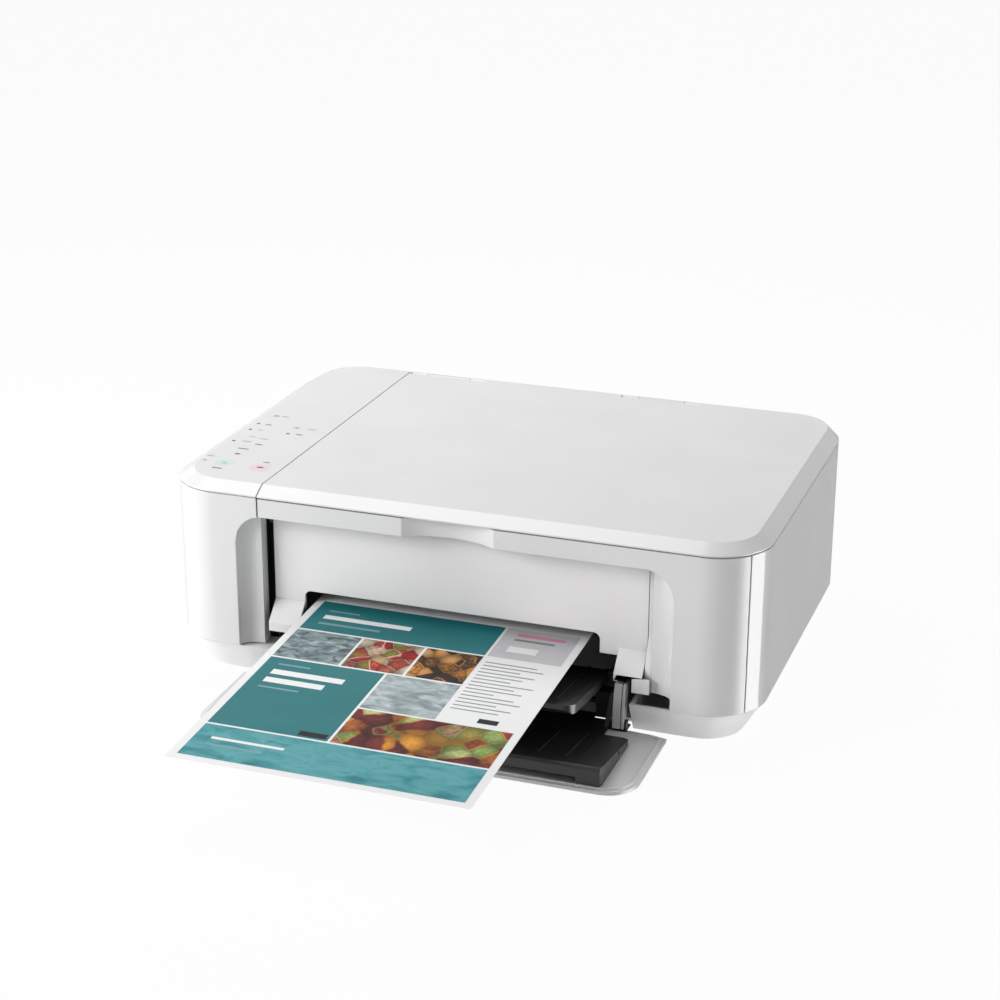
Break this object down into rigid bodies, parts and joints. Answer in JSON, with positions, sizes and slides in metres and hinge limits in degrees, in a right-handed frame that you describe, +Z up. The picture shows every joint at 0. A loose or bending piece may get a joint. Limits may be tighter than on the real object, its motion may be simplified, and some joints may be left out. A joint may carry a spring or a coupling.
{
  "type": "inkjet all-in-one printer",
  "caption": "Compact flatbed inkjet printer, scanner and copier with its front paper door open, trays out and a printed sheet in the output slot.",
  "frame": {"origin": "on the table, under the middle of the whole outline with the door open and the sheet out", "axes": "+Z up, the front and the door face -Y, +X is to the right seen from the front"},
  "size_m": [0.449, 0.5259, 0.152],
  "materials": {
    "white_abs": "fine matte moulded ABS",
    "grey_abs": "matte moulded ABS",
    "black_abs": "fine textured black moulding",
    "black_rubber": "matte",
    "steel": "bright sheet and ground rod",
    "glass": "clear float glass",
    "foam": "white foam pad with a smooth film",
    "board": "green solder resist",
    "pom": "natural acetal",
    "motor_can": "plated steel can",
    "lens": "smoked lens",
    "print_paper": "matte office paper, printed",
    "film": "clear film with fine lines",
    "ink_blue": "dark moulding"
  },
  "bodies": {
    "case": {"base_pan": "white_abs", "rubber_feet": "black_rubber", "case_screws": "steel", "front_frame": "white_abs", "left_column": "white_abs", "side_cover_right": "white_abs", "side_cover_left": "white_abs", "rear_cover": "white_abs", "recess_panel": "white_abs", "inner_cheek": "black_abs", "tray_rails": "black_abs", "scanner_tub": "grey_abs", "platen_glass": "glass", "scan_rod": "steel", "control_panel": "white_abs", "panel_board": "board", "indicator_lenses": "lens", "lid_hinges": "white_abs", "frame_plates": "steel", "rail_beam": "steel", "carriage_rod": "steel", "drive_belt": "black_rubber", "carriage_motor": "motor_can", "encoder_strip": "film", "feed_motor": "motor_can", "print_platen": "black_abs", "purge_unit": "black_abs", "circuit_boards": "board", "power_supply": "black_abs", "rear_sockets": "black_abs"},
    "lid": {"document_lid": "white_abs", "lid_pad": "foam"},
    "output_cover": {"output_cover": "white_abs"},
    "front_door": {"front_door": "white_abs", "tray_insert": "black_abs"},
    "link_lever": {"link_lever": "grey_abs"},
    "output_tray": {"output_tray": "black_abs"},
    "paper_stop": {"paper_stop": "black_abs"},
    "guide_left": {"paper_guide_left": "black_abs"},
    "guide_right": {"paper_guide_right": "black_abs"},
    "guide_pinion": {"guide_pinion": "pom"},
    "sheet": {"printed_sheet": "print_paper"},
    "scan_bar": {"scan_bar": "black_abs"},
    "carriage": {"ink_carriage": "black_abs", "black_cartridge": "black_abs", "colour_cartridge": "ink_blue"},
    "motor_pulley": {"motor_pulley": "pom"},
    "idler_pulley": {"idler_pulley": "pom"},
    "feed_roller": {"feed_roller": "black_rubber"},
    "output_roller": {"output_roller": "black_rubber"},
    "idler_gear": {"idler_gear": "pom"},
    "motor_pinion": {"motor_pinion": "pom"},
    "star_wheels": {"star_wheels": "steel"},
    "pickup_roller": {"pickup_roller": "black_rubber"},
    "power_button": {"power_button": "white_abs"},
    "wireless_button": {"wireless_button": "white_abs"},
    "paper_button": {"paper_button": "white_abs"},
    "black_copy_button": {"black_copy_button": "white_abs"},
    "colour_copy_button": {"colour_copy_button": "white_abs"},
    "stop_button": {"stop_button": "white_abs"}
  },
  "joints": [
    {"name": "lid_hinge", "type": "hinge", "parent": "case", "child": "lid", "pos_m": [0, 0.25855, 0.1475], "axis": [-1, 0, 0], "range_deg": [0, 80]},
    {"name": "front_door_swing", "type": "hinge", "parent": "case", "child": "front_door", "pos_m": [0, -0.02495, 0.021], "axis": [-1, 0, 0], "range_deg": [0, 90], "deforming": ["printed_sheet"]},
    {"name": "link_lever_pivot", "type": "hinge", "parent": "front_door", "child": "link_lever", "pos_m": [0, -0.03895, 0.008], "axis": [-1, 0, 0], "range_deg": [0, 8]},
    {"name": "output_tray_slide", "type": "slide", "parent": "case", "child": "output_tray", "axis": [0, 0.9903, -0.1392], "range_m": [0, 0.092]},
    {"name": "paper_stop_slide", "type": "slide", "parent": "output_tray", "child": "paper_stop", "axis": [0, 0.9903, -0.1392], "range_m": [-0.03, 0]},
    {"name": "output_cover_swing", "type": "hinge", "parent": "case", "child": "output_cover", "pos_m": [0, -0.02245, 0.125], "axis": [1, 0, 0], "range_deg": [-75, 0]},
    {"name": "sheet_feed", "type": "slide", "parent": "case", "child": "sheet", "axis": [0, -0.999, -0.0436], "range_m": [0, 0.04]},
    {"name": "paper_guide_left_slide", "type": "slide", "parent": "case", "child": "guide_left", "axis": [1, 0, 0], "range_m": [0, 0.035]},
    {"name": "paper_guide_right_slide", "type": "slide", "parent": "case", "child": "guide_right", "axis": [-1, 0, 0], "range_m": [0, 0.035]},
    {"name": "guide_pinion_spin", "type": "hinge", "parent": "case", "child": "guide_pinion", "pos_m": [0, 0.00905, 0.0053], "axis": [0, 0, 1], "range_deg": [-260, 0]},
    {"name": "scan_bar_travel", "type": "slide", "parent": "case", "child": "scan_bar", "axis": [1, 0, 0], "range_m": [0, 0.27]},
    {"name": "carriage_travel", "type": "slide", "parent": "case", "child": "carriage", "axis": [-1, 0, 0], "range_m": [0, 0.27]},
    {"name": "motor_pulley_spin", "type": "hinge", "parent": "case", "child": "motor_pulley", "pos_m": [-0.169, 0.13905, 0.099], "axis": [0, 1, 0], "continuous": true},
    {"name": "idler_pulley_spin", "type": "hinge", "parent": "case", "child": "idler_pulley", "pos_m": [0.19, 0.13905, 0.099], "axis": [0, 1, 0], "continuous": true},
    {"name": "feed_roller_spin", "type": "hinge", "parent": "case", "child": "feed_roller", "pos_m": [0, 0.08705, 0.0527], "axis": [1, 0, 0], "continuous": true},
    {"name": "idler_gear_spin", "type": "hinge", "parent": "case", "child": "idler_gear", "pos_m": [-0.19, 0.0496, 0.04183], "axis": [1, 0, 0], "continuous": true},
    {"name": "output_roller_spin", "type": "hinge", "parent": "case", "child": "output_roller", "pos_m": [0, 0.01705, 0.0547], "axis": [1, 0, 0], "continuous": true},
    {"name": "motor_pinion_spin", "type": "hinge", "parent": "case", "child": "motor_pinion", "pos_m": [-0.19, 0.10055, 0.07608], "axis": [1, 0, 0], "continuous": true},
    {"name": "star_wheels_spin", "type": "hinge", "parent": "case", "child": "star_wheels", "pos_m": [0, 0.01705, 0.0661], "axis": [1, 0, 0], "continuous": true},
    {"name": "pickup_roller_spin", "type": "hinge", "parent": "case", "child": "pickup_roller", "pos_m": [0, 0.11705, 0.028], "axis": [1, 0, 0], "continuous": true},
    {"name": "power_button_press", "type": "slide", "parent": "case", "child": "power_button", "axis": [0, 0, -1], "range_m": [0, 0.0008], "stiffness_N_per_m": 300, "springref_m": -0.0004},
    {"name": "wireless_button_press", "type": "slide", "parent": "case", "child": "wireless_button", "axis": [0, 0, -1], "range_m": [0, 0.0008], "stiffness_N_per_m": 300, "springref_m": -0.0004},
    {"name": "paper_button_press", "type": "slide", "parent": "case", "child": "paper_button", "axis": [0, 0, -1], "range_m": [0, 0.0008], "stiffness_N_per_m": 300, "springref_m": -0.0004},
    {"name": "black_copy_button_press", "type": "slide", "parent": "case", "child": "black_copy_button", "axis": [0, 0, -1], "range_m": [0, 0.0008], "stiffness_N_per_m": 300, "springref_m": -0.0004},
    {"name": "colour_copy_button_press", "type": "slide", "parent": "case", "child": "colour_copy_button", "axis": [0, 0, -1], "range_m": [0, 0.0008], "stiffness_N_per_m": 300, "springref_m": -0.0004},
    {"name": "stop_button_press", "type": "slide", "parent": "case", "child": "stop_button", "axis": [0, 0, -1], "range_m": [0, 0.0008], "stiffness_N_per_m": 300, "springref_m": -0.0004}
  ],
  "couplings": [
    {"joint": "output_tray_slide", "follows": "front_door_swing", "m_per_rad": 0.058569},
    {"joint": "link_lever_pivot", "follows": "front_door_swing", "ratio": 0.088888},
    {"joint": "paper_guide_right_slide", "follows": "paper_guide_left_slide", "ratio": 1},
    {"joint": "guide_pinion_spin", "follows": "paper_guide_left_slide", "rad_per_m": -125},
    {"joint": "motor_pulley_spin", "follows": "carriage_travel", "rad_per_m": 150.38},
    {"joint": "idler_pulley_spin", "follows": "carriage_travel", "rad_per_m": 150.38},
    {"joint": "idler_gear_spin", "follows": "feed_roller_spin", "ratio": -0.85714},
    {"joint": "output_roller_spin", "follows": "feed_roller_spin", "ratio": 1.2857},
    {"joint": "motor_pinion_spin", "follows": "feed_roller_spin", "ratio": -2},
    {"joint": "star_wheels_spin", "follows": "feed_roller_spin", "ratio": -1.7143},
    {"joint": "pickup_roller_spin", "follows": "feed_roller_spin", "ratio": 0.72727}
  ]
}
